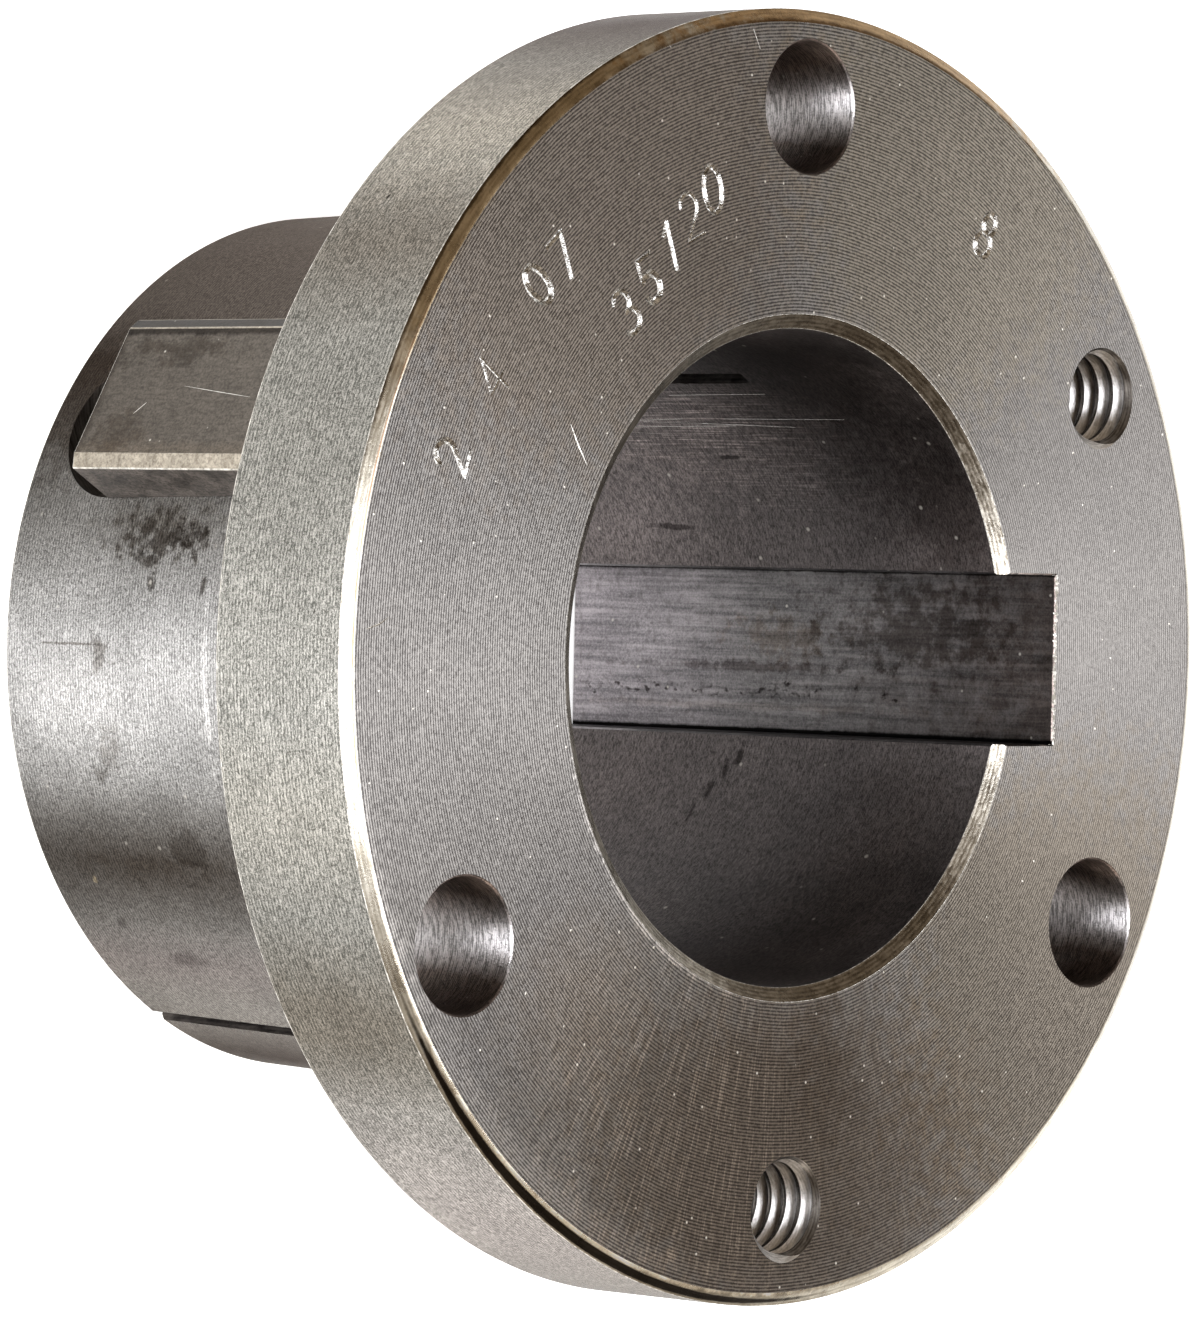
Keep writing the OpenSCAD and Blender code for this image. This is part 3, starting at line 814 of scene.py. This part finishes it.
digitStrokes = {  # strokes in a cell one wide and one high; a closed stroke ends where it begins
    "0": [bend(0.5, 0.5, 0.46, 0.5, 90, 450, 28)],
    "1": [[(0.3, 0.8), (0.56, 1.0)], [(0.56, 1.0), (0.56, 0.0)]],
    "2": [bend(0.5, 0.7, 0.44, 0.3, 165, -40, 14) + [(0.08, 0.02)], [(0.06, 0.0), (0.96, 0.0)]],
    "3": [bend(0.46, 0.74, 0.4, 0.26, 150, -90, 14), bend(0.46, 0.25, 0.46, 0.26, 82, -150, 14)],
    "4": [[(0.7, 0.0), (0.7, 1.0)], [(0.7, 1.0), (0.04, 0.34)], [(0.02, 0.3), (0.98, 0.3)]],
    "5": [[(0.88, 1.0), (0.2, 1.0)], [(0.2, 1.0), (0.14, 0.54)], bend(0.48, 0.31, 0.44, 0.31, 140, -150, 16)],
    "7": [[(0.05, 1.0), (0.92, 1.0)], [(0.92, 1.0), (0.38, 0.0)]],
    "8": [bend(0.5, 0.76, 0.34, 0.24, 90, 450, 20), bend(0.5, 0.26, 0.44, 0.28, 90, 450, 22)],
}


def strokeTool(path, width, depth, zone, end, up=None):
    # a V groove along points on a surface; end is the share of its section left at its ends, which run on
    # by a part of its width, and up gives the surface normal at each point
    runOn = width * 0.3
    path = np.array(path, float)
    closed = np.linalg.norm(path[0] - path[-1]) < 1e-6
    if closed:
        path = path[:-1]
    count = len(path)
    ups = np.tile((0.0, 0.0, 1.0), (count, 1)) if up is None else np.array(up, float)[:count]
    sections = []
    for i, here in enumerate(path):
        before = path[i - 1] if closed or i else here
        after = path[(i + 1) % count] if closed or i < count - 1 else here
        run = (after - before) / np.linalg.norm(after - before)
        side = np.cross(run, ups[i])
        size = 1.0 if closed or 0 < i < count - 1 else end
        wide, deep = width / 2 * size, depth * size
        if not closed and i == 0:
            here = here - run * runOn
        if not closed and i == count - 1:
            here = here + run * runOn
        lift = ups[i] * deep
        sections.append([here + side * 2 * wide + lift, here - lift, here - side * 2 * wide + lift])
    if not closed:
        return loft("strokeTool", sections, zone)
    points = [p for section in sections for p in section]
    faces = []
    for s in range(count):
        n = (s + 1) % count
        for a in range(3):
            b = (a + 1) % 3
            faces.append((s * 3 + a, s * 3 + b, n * 3 + b, n * 3 + a))
    return newMesh("strokeTool", points, faces, zone)


def stamp(digit, radius, degrees, lean, size, firm):
    up = polar(1, degrees + lean)
    right = np.array((up[1], -up[0], 0))
    middle = polar(radius, degrees, body["length"])
    high, wide = digits["height"] * size, digits["width"] * size
    for stroke in digitStrokes[digit]:
        path = [middle + right * (x - 0.5) * wide + up * (y - 0.5) * high for x, y in stroke]
        grooveWide, grooveDeep = digits["stroke"] * firm, digits["depth"] * firm
        cut(bushing, strokeTool(path, grooveWide, grooveDeep, "stampedDigit", digits["end"]))


stamps = [  # digit, radius, angle, lean, size, firmness of the blow
    ("2", 39.2, -110.4, 3, 1.0, 0.9),
    ("4", 38.1, -120.3, -4, 1.0, 0.7),
    ("0", 38.4, -132.2, 5, 0.95, 1.0),
    ("7", 38.0, -137.0, -3, 0.95, 1.1),
    ("3", 31.0, -141.6, 4, 1.0, 0.8),
    ("5", 31.6, -147.5, -2, 1.0, 1.0),
    ("1", 32.6, -153.0, -6, 1.0, 1.1),
    ("2", 33.8, -157.9, 3, 1.0, 0.6),
    ("0", 34.9, -162.6, -3, 1.0, 0.8),
    ("8", 37.5, 147.3, 4, 1.0, 0.9),
]
for row in stamps:
    stamp(*row)
print("digits stamped:", len(bushing.data.polygons), "faces")

# scratches: width, depth, then points as radius, angle and height on a turned surface
scratches = [
    (0.16, 0.04, [(29.6, -123.1, 49.2), (28.1, -121.5, 49.2), (26.7, -120.2, 49.2)]),
    (0.12, 0.04, [(44.8, -92.3, 49.2), (43.6, -92.8, 49.2), (42.7, -93.5, 49.2)]),
    (0.14, 0.05, [(45.4, -171.9, 49.2), (44.0, -172.6, 49.2)]),
]
scratchEnd = 0.3  # share of a scratch's section that is left at its ends
# a shaft pushed through has scored the bore lengthways
scoring = dict(
    count=9, start=(12, 28), angle=(131, 147), long=(5, 13), width=(0.04, 0.1), drift=(-1, 1), depth=0.03)
for k in range(scoring["count"]):
    start, angle, long, width, drift = (
        rng.uniform(*scoring[name]) for name in ("start", "angle", "long", "width", "drift"))
    ends = [(body["boreRadius"], angle, start), (body["boreRadius"], angle + drift, start + long)]
    scratches.append((width, scoring["depth"], ends))


def score(thing, width, depth, places):
    path = [polar(*place) for place in places]
    inBore = places[0][0] == body["boreRadius"]
    up = [-polar(1, place[1]) for place in places] if inBore else None
    cut(thing, strokeTool(path, width, depth, "scratch", scratchEnd, up))


for scratch in scratches:
    score(bushing, *scratch)
print("scratches scored")


def readAll(items, name, kind, width=1):  # one property of every item, as an array
    values = np.zeros(len(items) * width, kind)
    items.foreach_get(name, values)
    return values.reshape(-1, width) if width > 1 else values


shading = dict(weld=1e-5, sharp=28)


def finishNormals(thing):
    # smooth shading from the lathe profile itself where a face was turned, by angle elsewhere
    mesh = thing.data
    work = bmesh.new()
    work.from_mesh(mesh)
    bmesh.ops.remove_doubles(work, verts=work.verts, dist=shading["weld"])
    bmesh.ops.dissolve_degenerate(work, edges=work.edges, dist=shading["weld"])
    for edge in work.edges:
        edge.smooth = edge.is_manifold and edge.calc_face_angle(0) < math.radians(shading["sharp"])
    for face in work.faces:
        face.smooth = True
    loose = [e for e in work.edges if not e.link_faces]
    print("open edges:", sum(not e.is_manifold for e in work.edges), "loose edges:", len(loose))
    work.to_mesh(mesh)
    work.free()
    normals = readAll(mesh.corner_normals, "vector", np.float32, 3)
    sizes = readAll(mesh.polygons, "loop_total", int)
    zoneOf = np.repeat(readAll(mesh.polygons, "material_index", int), sizes)
    spot = readAll(mesh.vertices, "co", float, 3)[readAll(mesh.loops, "vertex_index", int)]
    radius = np.hypot(spot[:, 0], spot[:, 1])
    flat = np.stack((radius, spot[:, 2]), 1)
    for number in sorted({zones.index(z) for z in profileZones}):
        here = zoneOf == number
        if not here.any():
            continue
        best = np.full(here.sum(), 1e9)
        chosen = np.zeros((here.sum(), 2))
        for i, name in enumerate(profileZones):
            if zones.index(name) != number:
                continue
            j = (i + 1) % len(profile)
            start, leg = profile[i], profile[j] - profile[i]
            share = np.clip(((flat[here] - start) @ leg) / max(leg @ leg, 1e-12), 0, 1)[:, None]
            gap = np.linalg.norm(flat[here] - start - share * leg, axis=1)
            closer = gap < best
            best[closer] = gap[closer]
            chosen[closer] = (profileNormals[i] * (1 - share) + profileNormals[j] * share)[closer]
        around = spot[here][:, :2] / radius[here][:, None]
        normals[here] = np.column_stack((around * chosen[:, :1], chosen[:, 1]))
    normals /= np.maximum(np.linalg.norm(normals, axis=1)[:, None], 1e-9)
    local = spot.copy()
    holeZones = [zones.index(z) for z in ("drilledHole", "countersink", "tappedFlankHighlight", "threadCrest")]
    centres = np.array([polar(holes["circle"], a) for a in holes["clearAngles"] + holes["tapAngles"]])
    inHole = np.isin(zoneOf, holeZones)
    gaps = np.linalg.norm(spot[inHole][:, None, :2] - centres[None, :, :2], axis=2)
    local[inHole] -= centres[gaps.argmin(1)]
    for zone, degrees in (("sawnSlit", slit["angle"]), ("milledPocket", pocket["angle"])):
        here = zoneOf == zones.index(zone)
        ahead, aside = polar(1, degrees), polar(1, degrees + 90)
        local[here] = np.stack((spot[here] @ aside, spot[here] @ ahead, spot[here][:, 2]), 1)
    settle(mesh, normals, local)


def settle(mesh, normals, local):
    # stores the normals and each corner's place as its tool sees it, keeps the finishes used, goes to metres
    place = mesh.attributes.new("cutPlace", "FLOAT_VECTOR", "CORNER")
    place.data.foreach_set("vector", local.astype(np.float32).ravel())
    mesh.normals_split_custom_set(normals.tolist())
    numbers = readAll(mesh.polygons, "material_index", int)
    used = sorted(set(numbers.tolist()))
    mesh.materials.clear()
    for number in used:
        mesh.materials.append(steels[number])
    mesh.polygons.foreach_set("material_index", [used.index(n) for n in numbers])
    mesh.transform(Matrix.Scale(metre, 4))


finishNormals(bushing)
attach(bushing, "root")
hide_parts("bushing_body")
print("bushing done:", len(bushing.data.polygons), "faces")

# key: cold drawn bar with its long top edges chamfered, sawn square, laid in the pocket. Its eased edges are
# painted bright within the margin of one side, and where they are tipped towards an end: partly rubbed wear,
# partly a painted highlight; the chamfer on that side is painted paler, a painted highlight too
bar = dict(
    halfWidth=6.35, top=36.67, chamferWide=1.0, chamferDeep=0.45, edgeBreak=0.09, margin=0.3, tipped=0.3)


def keyBar():
    half, top, low = bar["halfWidth"], bar["top"], pocket["floor"]
    wide, deep = bar["chamferWide"], bar["chamferDeep"]
    section = [
        (low, -half), (top - deep, -half), (top, wide - half),
        (top, half - wide), (top - deep, half), (low, half),
    ]
    levels = [
        [keyAhead * r + keyAside * t + (0, 0, z) for r, t in section]
        for z in (pocket["low"], pocket["high"])
    ]
    key = loft("key", levels, "drawnSide")
    work = bmesh.new()
    work.from_mesh(key.data)
    edges = list(work.edges)
    bmesh.ops.bevel(work, geom=edges, offset=bar["edgeBreak"], segments=2, affect="EDGES", profile=0.5)
    tilt = math.atan2(wide, deep)
    slopes = [keyAhead * math.sin(tilt) + keyAside * way * math.cos(tilt) for way in (1, -1)]
    ways = dict(
        drawnTop=[keyAhead, slopes[1]],
        sawnEnd=[np.array((0, 0, 1.0)), np.array((0, 0, -1.0))],
        drawnSide=[keyAside, -keyAside, -keyAhead],
        drawnChamferHighlight=[slopes[0]],
    )
    square = 0.9999  # a face within this cosine of a direction belongs to its zone
    for face in work.faces:
        face.smooth = True
        middle = face.calc_center_median()
        # faces painted bright as a highlight: the eased edges within the margin of one side, and those tipped
        # towards an end
        bright = middle.dot(keyAside) > half - bar["margin"] or abs(face.normal.z) > bar["tipped"]
        face.material_index = zones.index("keyEdgeHighlight" if bright else "drawnChamferHighlight")
        for zone, directions in ways.items():
            if max(np.dot(face.normal, d) for d in directions) > square:
                face.material_index = zones.index(zone)
    work.to_mesh(key.data)
    work.free()
    return key


key = keyBar()
keyScratches = [  # width, depth, points as distance aside and height on the top of the key
    (0.2, 0.04, [(1.92, 13.6), (1.07, 14.39)]),
    (0.05, 0.015, [(-0.37, 17.63), (0.1, 21.2), (0.55, 24.75)]),
]
for width, depth, places in keyScratches:
    path = [keyAhead * bar["top"] + keyAside * x + (0, 0, z) for x, z in places]
    cut(key, strokeTool(path, width, depth, "scratch", scratchEnd, [keyAhead] * len(path)))


def finishKey(thing):
    mesh = thing.data
    areas = np.array([p.area for p in mesh.polygons])
    facing = np.array([p.normal for p in mesh.polygons])
    sizes = np.array([p.loop_total for p in mesh.polygons])
    corners = readAll(mesh.loops, "vertex_index", int)
    share = np.zeros((len(mesh.vertices), 3))
    np.add.at(share, corners, np.repeat(facing * areas[:, None], sizes, 0))
    normals = share[corners]
    normals /= np.linalg.norm(normals, axis=1)[:, None]
    points = np.array([v.co for v in mesh.vertices])[corners]
    settle(mesh, normals, np.stack((points @ keyAside, points @ keyAhead, points[:, 2]), 1))


finishKey(key)
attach(key, "root")
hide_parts("external_key")
print("key done:", len(key.data.polygons), "faces")
